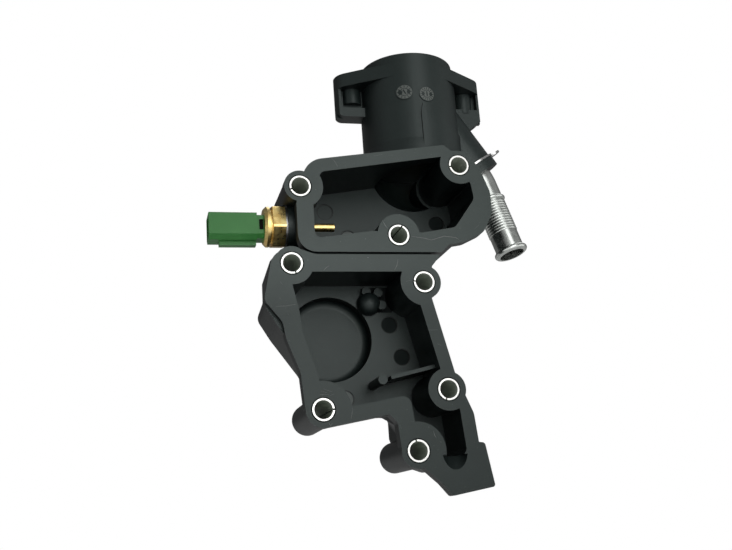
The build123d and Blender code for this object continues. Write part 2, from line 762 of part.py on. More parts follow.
def make_plate():
    """Pressed plate with the valve port and the bridge that holds the piston."""
    z = plate_z()
    face = z + plate_thickness
    plate = neck_cylinder(plate_r, z, face) - neck_cylinder(port_r, z, face)
    foot = port_r + bridge_foot
    top = face + bridge_height
    half = bridge_half_top
    inner_half = half - bridge_lean
    inner = make_face(Polyline((-foot + frame_thickness, z), (-inner_half, top - frame_thickness),
                               (inner_half, top - frame_thickness), (foot - frame_thickness, z), close=True))
    outer = make_face(Polyline((-foot, z), (-half, top), (half, top), (foot, z), close=True))
    arch = extrude(on_face(neck_y - bridge_width / 2) * Pos(neck_x, 0) * (outer - inner),
                   amount=bridge_width, dir=(0, 1, 0))
    arch -= neck_cylinder(neck_bore_r, z - 5, z)
    return plate + arch - neck_cylinder(piston_r, z, top + 1)


def make_piston():
    top = plate_z() + plate_thickness + bridge_height
    return neck_cylinder(piston_r, capsule_top() - piston_engaged, top)


def capsule_top():
    return plate_z() + capsule_rise


def make_capsule():
    """Wax capsule with its narrower neck, bored for the piston."""
    top = capsule_top()
    shoulder = top - capsule_neck_length
    body = neck_cylinder(capsule_r, top - capsule_length, shoulder)
    body += neck_cylinder(capsule_neck_r, shoulder, top)
    return body - neck_cylinder(piston_r + 0.05, top - piston_hole, top + 1)


def make_valve():
    """Valve disc that closes the port from below and is carried by the capsule."""
    z = plate_z() - valve_gap
    disc_body = neck_cylinder(valve_r, z - valve_thickness, z)
    hub = neck_cylinder(capsule_r + hub_wall, z - hub_height, z)
    return disc_body + hub - neck_cylinder(capsule_r, z - hub_height - 1, z + 1)


def frame_bottom():
    return plate_z() - frame_drop


def make_frame():
    """Lower frame: two legs from the plate to the ring that guides the capsule."""
    z = plate_z()
    low = frame_bottom()
    half_ring = spring_r + frame_ring_edge
    shoulder = z - frame_shoulder
    outer = make_face(Polyline(
        (-frame_leg_r, z), (-frame_leg_r, shoulder), (-half_ring, low), (half_ring, low),
        (frame_leg_r, shoulder), (frame_leg_r, z), close=True))
    t = frame_thickness
    leg = frame_leg_r - t
    ring_end = half_ring - frame_leg_lean
    shoulder -= t / 4
    inner = make_face(Polyline(
        (-leg, z), (-leg, shoulder), (-ring_end, low + t), (ring_end, low + t),
        (leg, shoulder), (leg, z), close=True))
    legs = extrude(on_face(neck_y - frame_leg_width / 2) * Pos(neck_x, 0) * (outer - inner),
                   amount=frame_leg_width, dir=(0, 1, 0))
    ring = neck_cylinder(half_ring, low, low + t)
    return legs + ring - neck_cylinder(capsule_r + slide_clearance, low - 1, low + t + 1)


def make_spring():
    """Main spring between the frame's ring and the valve disc."""
    low = frame_bottom() + frame_thickness + spring_wire / 2
    high = plate_z() - valve_gap - valve_thickness - spring_wire / 2
    path = Helix((high - low) / spring_turns, high - low, spring_r)
    start = Plane(origin=path @ 0, z_dir=path % 0)
    coil = sweep(start * Circle(spring_wire / 2), path=path, is_frenet=True)
    return Pos(neck_x, neck_y, low) * coil


PIECES = {
    "housing": make_housing,
    "sender_body": make_sender_body,
    "sender_thermistor": make_thermistor,
    "sender_washer": make_washer,
    "sender_plug": make_plug,
    "heater_pipe": make_pipe,
    "pipe_seal": make_pipe_seal,
    "pipe_clip": make_clip,
    "pipe_collar": make_collar,
    "thermostat_seal": make_thermostat_seal,
    "thermostat_plate": make_plate,
    "thermostat_frame": make_frame,
    "thermostat_spring": make_spring,
    "piston": make_piston,
    "wax_capsule": make_capsule,
    "valve_disc": make_valve,
}


def main():
    os.makedirs("parts", exist_ok=True)
    shapes = {name: make() for name, make in PIECES.items()}
    for name in BOLTS:
        shapes["sleeve_" + name] = make_sleeve(name)
    for side, word in ((-1, "left"), (1, "right")):
        shapes["ear_insert_" + word] = make_insert(side)
    for side, word in ((-1, "lower"), (1, "upper")):
        shapes["terminal_" + word] = terminal_box(side)
    for name, shape in shapes.items():
        export_step(shape, "parts/" + name + ".step")


main()
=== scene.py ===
"""Looks of the coolant housing: materials, small surface details, light and camera.

Everything is in metres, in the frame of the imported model: the gasket face is the plane
y = 0 and looks along -Y, and Z runs up to the thermostat neck.
"""
import json
import math

import bmesh
import bpy
from mathutils import Matrix, Vector

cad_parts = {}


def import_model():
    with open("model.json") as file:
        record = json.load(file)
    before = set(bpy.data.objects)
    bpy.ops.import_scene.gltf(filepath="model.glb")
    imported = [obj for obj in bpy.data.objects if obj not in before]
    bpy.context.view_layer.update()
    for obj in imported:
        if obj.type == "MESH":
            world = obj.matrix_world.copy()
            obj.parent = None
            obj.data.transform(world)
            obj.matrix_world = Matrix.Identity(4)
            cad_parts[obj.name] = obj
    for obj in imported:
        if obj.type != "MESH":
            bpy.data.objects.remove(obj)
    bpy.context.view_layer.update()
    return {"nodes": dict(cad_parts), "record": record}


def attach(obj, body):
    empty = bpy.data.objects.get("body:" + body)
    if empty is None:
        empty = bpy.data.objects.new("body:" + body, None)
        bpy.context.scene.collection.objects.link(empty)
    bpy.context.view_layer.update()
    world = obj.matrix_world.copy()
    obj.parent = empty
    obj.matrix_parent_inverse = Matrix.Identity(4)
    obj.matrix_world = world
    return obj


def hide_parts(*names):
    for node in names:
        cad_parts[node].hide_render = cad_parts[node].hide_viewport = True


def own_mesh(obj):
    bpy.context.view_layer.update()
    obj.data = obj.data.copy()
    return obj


MM = 0.001

# Photograph: fitted camera in the object's frame
IMAGE_WIDTH = 732
FOCAL_PIXELS = 922.7
SENSOR_WIDTH = 36.0
CAMERA_PLACE = Vector((-122.29, -398.38, -128.05)) * MM
CAMERA_FORWARD = Vector((0.24619, 0.93518, 0.25463))
CAMERA_UP = Vector((0.00217, -0.26325, 0.96473))
CAMERA_NEAR = 0.01

# Floor: its shaded middle fades into plain white
FLOOR_Z = -150 * MM
FLOOR_HALF = 30.0
FLOOR_GREY = 0.8
FLOOR_ROUGHNESS = 0.9
FLOOR_SHADE = 0.62
FLOOR_SHADE_R = 0.045
FLOOR_WHITE_R = 0.115
SHADE_CENTRE = (-20 * MM, 20 * MM, FLOOR_Z)
# How bright reflections show the floor, from this Y in front to this Y behind
FLOOR_GLOSS_Y = (-0.2, 0.0)
FLOOR_GLOSS = (0.8, 0.12)

# Surroundings: strength in front and behind for each kind of ray, and the Y of the
# direction where the first begins and ends to turn into the second
WORLD_TURN_Y = (-0.1, 0.5)
WORLD_STRENGTHS = {
    "other": (0.13, 0.15),
    "Is Glossy Ray": (0.26, 0.12),
    "Is Transmission Ray": (0.26, 0.12),
    "Is Camera Ray": (1.0, 1.0),
}

# Lamps, name: place in metres, diameter, power in watts
LAMPS_LOOK_AT = Vector((0.0, 0.03, -0.01))
LAMPS = {
    "window": ((0.154, -0.6, 0.163), 0.4, 0.62),
    "above": ((0.12, -0.48, 0.45), 0.36, 0.32),
    "front": ((0.0, -0.6, 0.0), 0.3, 0.47),
    "right": ((0.7, -0.24, 0.0), 0.7, 0.85),
    "left": ((-0.7, -0.3, 0.0), 0.6, 0.24),
    "behind": ((0.3, 0.5, 0.75), 0.6, 1.7),
}

# Neck, as in the solids
NECK_X = 19.3 * MM
NECK_Y = 29.0 * MM
BARREL_R = 25.1 * MM

# Moulded dials: their x, z, number of ticks and turn of the pointer in degrees
DIALS = [(10.4 * MM, 76.9 * MM, 12, 25.0), (21.7 * MM, 75.7 * MM, 16, 5.0)]
DIAL_R = 4.1 * MM
DIAL_RISE = 0.25 * MM
DIAL_SINK = 0.1 * MM
RING_STEPS = 40
PLATE_RING = (0.2 * MM, DIAL_R - 0.3 * MM)
RIM_RING = (DIAL_R - 0.35 * MM, DIAL_R)
HUB_RING = (1.85 * MM, 2.1 * MM)
TICK_REACH = (2.5 * MM, 3.5 * MM)
TICK_HALF_WIDTH = 0.17 * MM
POINTER_REACH = (-1.2 * MM, 1.3 * MM)
POINTER_HALF_WIDTH = 0.26 * MM
PLATE_HEIGHT = 0.05 * MM
MARK_HEIGHT = 0.15 * MM
POINTER_HEIGHT = 0.2 * MM

# Places that the shaders colour, as in the solids; lists of points are in mm
SLEEVE_R = 5.0 * MM
SLEEVE_END_Y = (0.02 * MM, 0.1 * MM)
SLEEVES = [(-46.1, 0, 23.6), (-51.7, 0, -13.8), (-40.8, 0, -80.7), (1.2, 0, -100.6),
           (17.9, 0, -73.6), (10.5, 0, -22.9), (0, 0, 0), (33.4, 0, 36.2)]
PIN_MARK_R = 4.0 * MM
DARK_PIN_MARKS = [(-0.3, 27.5, -37.6), (4.8, 27.5, -53.6), (31.4, 35.5, 17.3)]
# Pin marks with a painted highlight, a pale disc
PALE_PIN_MARKS = [(-16.1, 35.5, 9.3), (-24.3, 27.5, -73.0)]
PLAIN_PIN_MARKS = [(-27.4, 35.5, 23.0)]
# Z over which the gasket face turns from its darker bottom to a painted highlight and lower
# roughness at the top
PAINTED_LIGHT_Z = (-38.0 * MM, -12.0 * MM)
FACE_Y = (0.15 * MM, 0.4 * MM)
# Dome and the pocket round it, which is coloured near black as painted shade
DOME = (-10.4, 28.0, -27.2)
POCKET_Y = (27.8 * MM, 29.5 * MM)
POCKET_REACH = 16.0 * MM
# The plug's latch window, coloured near black as painted shade
WINDOW_X = (-64.3 * MM, -62.3 * MM)
WINDOW_Z = (5.8 * MM, 10.8 * MM)
PLUG_FRONT_Y = 16.0 * MM

# Scratches on the gasket face: half width, then points x, z, all in mm
SCRATCHES = [
    (0.10, [(-60.0, -34.0), (-55.0, -33.8), (-50.7, -33.1)]),
    (0.08, [(11.0, -46.0), (15.0, -46.0)]),
    (0.13, [(6.0, -0.6), (12.6, -1.6), (16.0, -2.4), (22.5, -0.4), (28.1, -1.1), (30.8, -2.8)]),
    (0.12, [(-7.5, 7.0), (-6.4, 4.6), (-5.4, 3.2)]),
    (0.25, [(-16.2, -11.2), (-15.6, -11.2)]),
    (0.12, [(-1.4, -12.0), (-2.2, -15.0), (-3.6, -17.4)]),
    (0.10, [(-37.3, -17.5), (-36.3, -16.3), (-34.5, -15.1)]),
    (0.10, [(1.6, -22.7), (4.1, -22.2)]),
    (0.12, [(-38.9, -86.5), (-38.1, -87.8), (-37.2, -86.8)]),
    (0.07, [(-27.6, -80.1), (-28.1, -82.6), (-28.7, -85.2)]),
    (0.22, [(6.6, -90.3), (7.0, -90.3)]),
    (0.12, [(8.8, -92.4), (9.2, -94.0), (9.9, -95.3)]),
    (0.09, [(-30.6, 38.0), (-28.9, 36.4), (-27.6, 33.6)]),
    (0.07, [(-41.5, -72.6), (-38.9, -73.4)]),
    (0.09, [(-42.1, -74.0), (-38.0, -74.2)]),
    (0.07, [(-40.4, -71.6), (-36.6, -73.0)]),
    (0.08, [(-38.4, -74.9), (-35.6, -74.0)]),
    (0.07, [(-57.6, -22.4), (-56.4, -24.0)]),
    (0.20, [(-54.8, -37.4), (-54.4, -37.8)]),
    (0.06, [(14.4, -52.6), (15.9, -53.4)]),
    (0.07, [(-9.4, 39.6), (-5.2, 40.6)]),
    (0.14, [(-54.9, -49.4), (-54.5, -49.8)]),
    (0.14, [(-58.1, -30.1), (-57.7, -30.3)]),
    (0.10, [(11.4, -97.0), (12.2, -97.4)]),
    (0.05, [(-6.8, -88.8), (-5.9, -90.6)]),
    (0.05, [(38.4, 3.6), (40.6, 5.2)]),
]
SCRATCH_RISE = 0.02 * MM

# Finishes
PLASTIC_ROUGHNESS = 0.42
TOP_FACE_ROUGHNESS = 0.3
PRESSED_ROUGHNESS = 0.9
SHEEN_TINT = (0.91, 1.0, 0.97, 1.0)
# A normal's Y where black plastic turns from its painted shade on the sides to its front colour
SIDE_TO_FRONT = (0.2, 0.75)
# A normal's Y below which a surface looks to the front
FORE_Y = -0.5
GRAIN = 0.3 * MM


def linear(value):
    """Linear value of one sRGB channel from 0 to 255."""
    level = value / 255
    return level / 12.92 if level <= 0.04045 else ((level + 0.055) / 1.055) ** 2.4


def rgb(r, g, b):
    return (linear(r), linear(g), linear(b), 1.0)


class Shader:
    """One node material, with short calls for the nodes that it needs."""

    def __init__(self, name, roughness, metallic=0.0):
        self.material = bpy.data.materials.new(name)
        self.material.use_nodes = True
        self.tree = self.material.node_tree
        self.bsdf = self.tree.nodes["Principled BSDF"]
        self.bsdf.inputs["Roughness"].default_value = roughness
        self.bsdf.inputs["Metallic"].default_value = metallic
        coordinates = self.add("ShaderNodeTexCoord")
        self.place = coordinates.outputs["Object"]
        self.normal = coordinates.outputs["Normal"]

    def add(self, kind, **settings):
        node = self.tree.nodes.new(kind)
        for key, value in settings.items():
            setattr(node, key, value)
        return node

    def link(self, source, target):
        """Set a socket to a plain value, or link it to another node's."""
        if isinstance(source, (int, float, tuple)):
            target.default_value = source
        else:
            self.tree.links.new(source, target)

    def stretched(self, scale):
        """The object's coordinates, stretched along each axis."""
        node = self.add("ShaderNodeMapping")
        node.inputs["Scale"].default_value = scale
        self.link(self.place, node.inputs["Vector"])
        return node.outputs["Vector"]

    def noise(self, size, detail=3.0, place=None):
        """Noise from 0 to 1 with features of this size in metres."""
        node = self.add("ShaderNodeTexNoise")
        node.inputs["Scale"].default_value = 1 / size
        node.inputs["Detail"].default_value = detail
        self.link(place or self.place, node.inputs["Vector"])
        return node.outputs["Fac"]

    def ramp(self, value, low, high, start=0.0, end=1.0):
        """Value mapped from low..high to start..end, and held at both ends."""
        node = self.add("ShaderNodeMapRange")
        sockets = ("From Min", "From Max", "To Min", "To Max")
        for socket, number in zip(sockets, (low, high, start, end)):
            node.inputs[socket].default_value = number
        self.link(value, node.inputs["Value"])
        return node.outputs["Result"]

    def math(self, operation, first, second=0.0):
        """Result of one operation on two numbers."""
        node = self.add("ShaderNodeMath", operation=operation)
        self.link(first, node.inputs[0])
        self.link(second, node.inputs[1])
        return node.outputs["Value"]

    def mix(self, factor, first, second):
        """Colour between first and second."""
        node = self.add("ShaderNodeMix", data_type="RGBA")
        self.link(factor, node.inputs[0])
        self.link(first, node.inputs[6])
        self.link(second, node.inputs[7])
        return node.outputs[2]

    def mix_number(self, factor, first, second):
        """Number between first and second."""
        node = self.add("ShaderNodeMix")
        self.link(factor, node.inputs[0])
        self.link(first, node.inputs[2])
        self.link(second, node.inputs[3])
        return node.outputs[0]

    def axis(self, name, place=None):
        """One coordinate of the point in metres, or of another vector."""
        node = self.add("ShaderNodeSeparateXYZ")
        self.link(place or self.place, node.inputs[0])
        return node.outputs[name]

    def inside(self, value, low, high):
        """1 where the value is between low and high, else 0."""
        above = self.math("GREATER_THAN", value, low)
        return self.math("MULTIPLY", above, self.math("LESS_THAN", value, high))

    def nearest(self, spots):
        """Distance in metres to the nearest of these spots, given in mm."""
        least = None
        for spot in spots:
            node = self.add("ShaderNodeVectorMath", operation="DISTANCE")
            self.link(self.place, node.inputs[0])
            node.inputs[1].default_value = Vector(spot) * MM
            away = node.outputs["Value"]
            least = away if least is None else self.math("MINIMUM", least, away)
        return least

    def line_at(self, distance, radius, half):
        """1 on a thin line at this distance, fading to 0 on both sides."""
        away = self.math("ABSOLUTE", self.math("SUBTRACT", distance, radius))
        return self.ramp(away, half * 0.5, half, 1.0, 0.0)

    def color(self, value):
        self.link(value, self.bsdf.inputs["Base Color"])

    def roughness(self, value):
        self.link(value, self.bsdf.inputs["Roughness"])

    def bump(self, heights, distance):
        """Bump of this depth from a list of (height, strength)."""
        normal = None
        for height, strength in heights:
            node = self.add("ShaderNodeBump")
            node.inputs["Strength"].default_value = strength
            node.inputs["Distance"].default_value = distance
            self.link(height, node.inputs["Height"])
            if normal is not None:
                self.link(normal, node.inputs["Normal"])
            normal = node.outputs["Normal"]
        self.link(normal, self.bsdf.inputs["Normal"])


def black_plastic(name):
    """Glass-filled black plastic: satin, with painted shade where it looks sideways."""
    shader = Shader(name, PLASTIC_ROUGHNESS)
    color, rough = black_with_painted_side_shade(shader, shader.noise(9 * MM, 3.0))
    shader.color(color)
    shader.roughness(rough)
    return shader.material


def housing_plastic():
    """Black plastic with pin marks on the floors and a mottled gasket face, glossier and with a
    painted highlight at the top.
    """
    shader = Shader("housing plastic", PLASTIC_ROUGHNESS)
    cloud = shader.noise(9 * MM, 3.0)
    color, rough = with_marks(shader, *black_with_painted_side_shade(shader, cloud))
    on_face = shader.ramp(shader.axis("Y"), *FACE_Y, 1.0, 0.0)
    painted_light_and_gloss = shader.ramp(shader.axis("Z"), *PAINTED_LIGHT_Z)
    shader.color(shader.mix(on_face, color, gasket_face(shader, cloud, painted_light_and_gloss)))
    face_rough = shader.mix_number(painted_light_and_gloss, PLASTIC_ROUGHNESS, TOP_FACE_ROUGHNESS)
    shader.roughness(shader.mix_number(on_face, rough, face_rough))
    return shader.material


def black_with_painted_side_shade(shader, cloud):
    """Colour and roughness of black plastic, with painted shade where it looks sideways; sets the
    shader's sheen and bump.
    """
    shader.bsdf.inputs["Specular Tint"].default_value = SHEEN_TINT
    grain = shader.noise(0.35 * MM, 4.0)
    streak = shader.noise(1.2 * MM, 3.0, shader.stretched((1.0, 1.0, 0.12)))
    shader.bump([(grain, 0.25), (streak, 0.08)], 0.04 * MM)
    # painted shade: surfaces that look sideways get a much darker colour than those that look to
    # the front or back
    front = shader.mix(cloud, rgb(27, 36, 35), rgb(37, 45, 44))
    side = shader.mix(cloud, rgb(6, 13, 14), rgb(12, 19, 20))
    facing = shader.ramp(shader.math("ABSOLUTE", shader.axis("Y", shader.normal)), *SIDE_TO_FRONT)
    rough = shader.ramp(grain, 0.3, 0.7, PLASTIC_ROUGHNESS - 0.06, PLASTIC_ROUGHNESS + 0.08)
    return shader.mix(facing, side, front), rough


def gasket_face(shader, cloud, painted_light_and_gloss):
    """Colour of the gasket face: mottled, darker towards the bottom with a painted highlight at the
    top, rubbed, specked, and with a painted shadow round the sleeves.
    """
    # painted highlight: the gasket face is coloured darker towards the bottom and lighter at the
    # top
    lower = shader.mix(cloud, rgb(20, 29, 28), rgb(32, 40, 38))
    upper = shader.mix(cloud, rgb(36, 46, 44), rgb(50, 59, 56))
    mottled = shader.mix(painted_light_and_gloss, lower, upper)
    rubbed = shader.ramp(shader.noise(0.8 * MM, 6.0, shader.stretched((0.25, 1.0, 1.0))), 0.66, 0.8)
    grey = shader.mix(shader.math("MULTIPLY", rubbed, 0.35), mottled, rgb(96, 102, 99))
    speck = shader.ramp(shader.noise(0.8 * MM, 1.0), 0.73, 0.78)
    grey = shader.mix(shader.math("MULTIPLY", speck, 0.5), grey, rgb(120, 126, 122))
    # painted shadow: a thin dark ring on the face round each sleeve
    painted_sleeve_shadow = shader.line_at(shader.nearest(SLEEVES), SLEEVE_R, 0.5 * MM)
    return shader.mix(painted_sleeve_shadow, grey, rgb(18, 20, 20))


def with_marks(shader, color, rough):
    """Colour and roughness with the floors' pin marks, with painted shade round their edges and a
    painted highlight on some, and painted shade in the pocket round the dome.
    """
    fore = shader.math("LESS_THAN", shader.axis("Y", shader.normal), FORE_Y)

    def disc(marks, strength):
        spot = shader.ramp(shader.nearest(marks), PIN_MARK_R - 0.2 * MM, PIN_MARK_R, strength, 0.0)
        return shader.math("MULTIPLY", fore, spot)

    marks = DARK_PIN_MARKS + PALE_PIN_MARKS + PLAIN_PIN_MARKS
    # painted shade: a thin dark line round every pin mark
    edge = shader.line_at(shader.nearest(marks), PIN_MARK_R, 0.5 * MM)
    edge = shader.math("MULTIPLY", fore, edge)
    pressed = disc(DARK_PIN_MARKS, 1.0)
    # painted shade: the pocket round the dome is coloured near black
    deep = shader.inside(shader.axis("Y"), *POCKET_Y)
    near = shader.math("LESS_THAN", shader.nearest([DOME]), POCKET_REACH)
    pocket = shader.math("MULTIPLY", deep, near)
    color = shader.mix(shader.math("MULTIPLY", pressed, 0.8), color, rgb(6, 15, 15))
    color = shader.mix(pocket, color, rgb(3, 7, 8))
    # painted highlight: a pale disc on some pin marks
    color = shader.mix(disc(PALE_PIN_MARKS, 0.9), color, rgb(92, 97, 95))
    color = shader.mix(edge, color, rgb(2, 3, 3))
    rough = shader.mix_number(shader.math("MAXIMUM", pressed, pocket), rough, PRESSED_ROUGHNESS)
    return color, rough


def green_plastic():
    """Specked green plastic of the plug, with painted shade in its latch window."""
    shader = Shader("green plug plastic", PLASTIC_ROUGHNESS)
    cloud = shader.noise(6 * MM, 3.0)
    speck = shader.ramp(shader.noise(0.5 * MM, 2.0), 0.7, 0.78)
    base = shader.mix(cloud, rgb(56, 132, 60), rgb(68, 146, 70))
    base = shader.mix(shader.math("MULTIPLY", speck, 0.4), base, rgb(38, 84, 44))
    # painted shade: the plug's latch window is coloured near black and fully rough
    across = shader.inside(shader.axis("X"), *WINDOW_X)
    window = shader.math("MULTIPLY", across, shader.inside(shader.axis("Z"), *WINDOW_Z))
    front = shader.math("LESS_THAN", shader.axis("Y"), PLUG_FRONT_Y)
    window = shader.math("MULTIPLY", window, front)
    shader.color(shader.mix(window, base, rgb(4, 6, 4)))
    shader.roughness(shader.mix_number(window, PLASTIC_ROUGHNESS, 1.0))
    shader.bump([(shader.noise(GRAIN, 3.0), 0.2)], 0.03 * MM)
    return shader.material


def metal(name, light, dark, roughness, lines=None, size=3 * MM, relief=0.25):
    """Metal with a patchy colour and fine tool or rolling lines."""
    shader = Shader(name, roughness, 1.0)
    patch = shader.noise(size, 4.0)
    shader.color(shader.mix(shader.ramp(patch, 0.35, 0.65), light, dark))
    dull = shader.noise(size * 0.6, 3.0)
    shader.roughness(shader.ramp(dull, 0.3, 0.7, roughness * 0.75, roughness * 1.3))
    fine = shader.noise(0.25 * MM, 3.0, shader.stretched(lines) if lines else None)
    shader.bump([(fine, relief)], 0.02 * MM)
    return shader.material


def sleeve_steel():
    """Bright cut ends and a dull, grey bore."""
    shader = Shader("sleeve steel", 0.3, 1.0)
    ends = shader.mix(shader.noise(0.8 * MM, 4.0), rgb(250, 250, 246), rgb(232, 232, 228))
    bore = shader.mix(shader.noise(2.0 * MM, 4.0), rgb(176, 184, 172), rgb(196, 204, 192))
    inside = shader.ramp(shader.axis("Y"), *SLEEVE_END_Y)
    shader.color(shader.mix(inside, ends, bore))
    shader.link(shader.ramp(inside, 0.0, 1.0, 1.0, 0.0), shader.bsdf.inputs["Metallic"])
    shader.roughness(shader.ramp(inside, 0.0, 1.0, 0.35, 0.6))
    shader.bump([(shader.noise(GRAIN, 3.0), 0.2)], 0.02 * MM)
    return shader.material


def rubber():
    shader = Shader("seal rubber", 0.7)
    shader.color(shader.mix(shader.noise(2 * MM), rgb(20, 20, 20), rgb(30, 30, 30)))
    shader.bump([(shader.noise(GRAIN), 0.2)], 0.03 * MM)
    return shader.material


def make_materials():
    """Material of each slot in the record."""
    brass_light = rgb(255, 232, 160)
    brass_dark = rgb(240, 205, 128)
    return {
        "housing": housing_plastic(),
        "collar": black_plastic("collar plastic"),
        "plug": green_plastic(),
        "sender_brass": metal("sender brass", brass_light, brass_dark, 0.32, (0.1, 1.0, 1.0)),
        "insert_brass": metal("insert brass", brass_light, brass_dark, 0.35),
        "terminal": metal("terminal brass", rgb(222, 196, 140), rgb(190, 160, 100), 0.25),
        "thermostat_brass": metal("thermostat brass", rgb(226, 200, 142), rgb(204, 176, 118),
                                  0.34, None, 9 * MM, 0.15),
        "washer": metal("washer aluminium", rgb(190, 192, 194), rgb(160, 162, 164), 0.4),
        "thermistor": black_plastic("thermistor resin"),
        "pipe": metal("zinc on the pipe", rgb(226, 230, 226), rgb(204, 208, 204), 0.26,
                      (1.0, 1.0, 0.06), 5 * MM, 0.07),
        "clip": metal("clip steel", rgb(225, 225, 224), rgb(190, 190, 188), 0.25),
        "sleeve": sleeve_steel(),
        "spring_steel": metal("spring steel", rgb(170, 172, 174), rgb(130, 132, 134), 0.3),
        "seal": rubber(),
        "scuff": scuff_material(),
        "dial": dial_plastic(),
        "dial_marks": black_plastic("dial marks"),
    }


def dial_plastic():
    """Paler, drier plastic of the moulded dials."""
    shader = Shader("dial plastic", 0.55)
    shader.color(shader.mix(shader.noise(0.5 * MM), rgb(92, 98, 94), rgb(114, 120, 116)))
    shader.bump([(shader.noise(GRAIN), 0.2)], 0.03 * MM)
    return shader.material


def scuff_material():
    """Pale rubbed plastic of the scratches."""
    shader = Shader("rubbed plastic", 0.6)
    shader.color(shader.mix(shader.noise(0.6 * MM), rgb(96, 99, 98), rgb(140, 143, 141)))
    return shader.material


def dress_nodes(frame, materials):
    """Give each node of the part the material of its slot."""
    slot_of = {part["node"]: part["material_slot"] for part in frame["record"]["subparts"]}
    for name, node in frame["nodes"].items():
        node.data.materials.clear()
        node.data.materials.append(materials[slot_of[name]])


def add_mesh(name, mesh_builder, material, body):
    """Add a piece from a function that fills a bmesh."""
    mesh = bpy.data.meshes.new(name)
    bm = bmesh.new()
    mesh_builder(bm)
    bmesh.ops.recalc_face_normals(bm, faces=bm.faces)
    bm.to_mesh(mesh)
    bm.free()
    mesh.materials.append(material)
    piece = bpy.data.objects.new(name, mesh)
    bpy.context.scene.collection.objects.link(piece)
    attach(piece, body)


def on_barrel(x, z, rise):
    """Point on the front of the barrel, raised by rise."""
    radius = BARREL_R + rise
    angle = math.asin((x - NECK_X) / radius)
    return Vector((x, NECK_Y - radius * math.cos(angle), z))


def block_on_barrel(bm, centre, turn, reaches, half_width, rise):
    """Small raised bar along a radius of a dial, between two distances from its centre."""
    cx, cz = centre
    inner, outer = reaches
    along = Vector((math.cos(turn), math.sin(turn)))
    side = Vector((-along.y, along.x))
    corners = []
    for level in (DIAL_RISE - DIAL_SINK, DIAL_RISE + rise):
        for reach, half in ((inner, -1), (outer, -1), (outer, 1), (inner, 1)):
            spot = along * reach + side * half * half_width
            corners.append(bm.verts.new(on_barrel(cx + spot.x, cz + spot.y, level)))
    bottom, top = corners[:4], corners[4:]
    bm.faces.new(top)
    bm.faces.new(list(reversed(bottom)))
    for i in range(4):
        j = (i + 1) % 4
        bm.faces.new((bottom[i], bottom[j], top[j], top[i]))


def ring_on_barrel(bm, centre, radii, rise):
    """Flat raised ring round a dial's centre."""
    cx, cz = centre
    inner, outer = radii
    low, high = DIAL_RISE - DIAL_SINK, DIAL_RISE + rise
    loops = []
    for radius, level in ((inner, low), (inner, high), (outer, high), (outer, low)):
        loop = []
        for i in range(RING_STEPS):
            turn = 2 * math.pi * i / RING_STEPS
            x = cx + radius * math.cos(turn)
            z = cz + radius * math.sin(turn)
            loop.append(bm.verts.new(on_barrel(x, z, level)))
        loops.append(loop)
    for a in range(4):
        first, second = loops[a], loops[(a + 1) % 4]
        for i in range(RING_STEPS):
            j = (i + 1) % RING_STEPS
            bm.faces.new((first[i], first[j], second[j], second[i]))


def add_spring(frame, materials):
    """The valve's spring as a piece of its own in spring steel, on the housing, in place of the
    model's node.
    """
    node = frame["nodes"]["thermostat_spring"]
    piece = bpy.data.objects.new("valve_spring", node.data.copy())
    piece.data.materials.clear()
    piece.data.materials.append(materials["spring_steel"])
    bpy.context.scene.collection.objects.link(piece)
    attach(piece, "housing")
    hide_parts("thermostat_spring")
    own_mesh(piece)


def add_dials(materials):
    """The two moulded dials: a rim, plain ticks, a hub ring and a pointer."""
    for index, (x, z, ticks, pointer) in enumerate(DIALS):

        def plate(bm):
            ring_on_barrel(bm, (x, z), PLATE_RING, PLATE_HEIGHT)

        def marks(bm):
            ring_on_barrel(bm, (x, z), RIM_RING, MARK_HEIGHT)
            ring_on_barrel(bm, (x, z), HUB_RING, MARK_HEIGHT)
            for i in range(ticks):
                turn = 2 * math.pi * i / ticks
                block_on_barrel(bm, (x, z), turn, TICK_REACH, TICK_HALF_WIDTH, MARK_HEIGHT)
            lean = math.radians(90 + pointer)
            block_on_barrel(bm, (x, z), lean, POINTER_REACH, POINTER_HALF_WIDTH, POINTER_HEIGHT)

        add_mesh(f"dial_plate_{index + 1}", plate, materials["dial"], "housing")
        add_mesh(f"dial_marks_{index + 1}", marks, materials["dial_marks"], "housing")


def stroke(bm, half_width, points):
    """Thin raised line on the gasket face, pointed at both ends."""
    half = half_width * MM
    spots = [Vector((x, z)) * MM for x, z in points]
    rims = []
    for i in range(len(spots)):
        along = (spots[min(i + 1, len(spots) - 1)] - spots[max(i - 1, 0)]).normalized()
        side = Vector((-along.y, along.x))
        reach = half if 0 < i < len(spots) - 1 else half * 0.4
        rims.append((spots[i] + side * reach, spots[i] - side * reach))
    levels = []
    for y in (-SCRATCH_RISE, SCRATCH_RISE):
        levels.append([[bm.verts.new((p.x, y, p.y)) for p in rim] for rim in rims])
    front, back = levels
    for i in range(len(rims) - 1):
        for one in (front, back):
            bm.faces.new((one[i][0], one[i][1], one[i + 1][1], one[i + 1][0]))
        for k in range(2):
            bm.faces.new((front[i][k], front[i + 1][k], back[i + 1][k], back[i][k]))
    for i in (0, -1):
        bm.faces.new((front[i][0], front[i][1], back[i][1], back[i][0]))


def add_scratches(materials):
    """All fine scratches on the gasket face, as one piece."""

    def build(bm):
        for half_width, points in SCRATCHES:
            stroke(bm, half_width, points)

    add_mesh("face_scratches", build, materials["scuff"], "housing")


def look_from(place, forward, up):
    """Matrix of a camera or lamp at this place that looks along forward."""
    forward = forward.normalized()
    right = forward.cross(up).normalized()
    up = right.cross(forward)
    matrix = Matrix((right, up, -forward)).transposed().to_4x4()
    matrix.translation = place
    return matrix


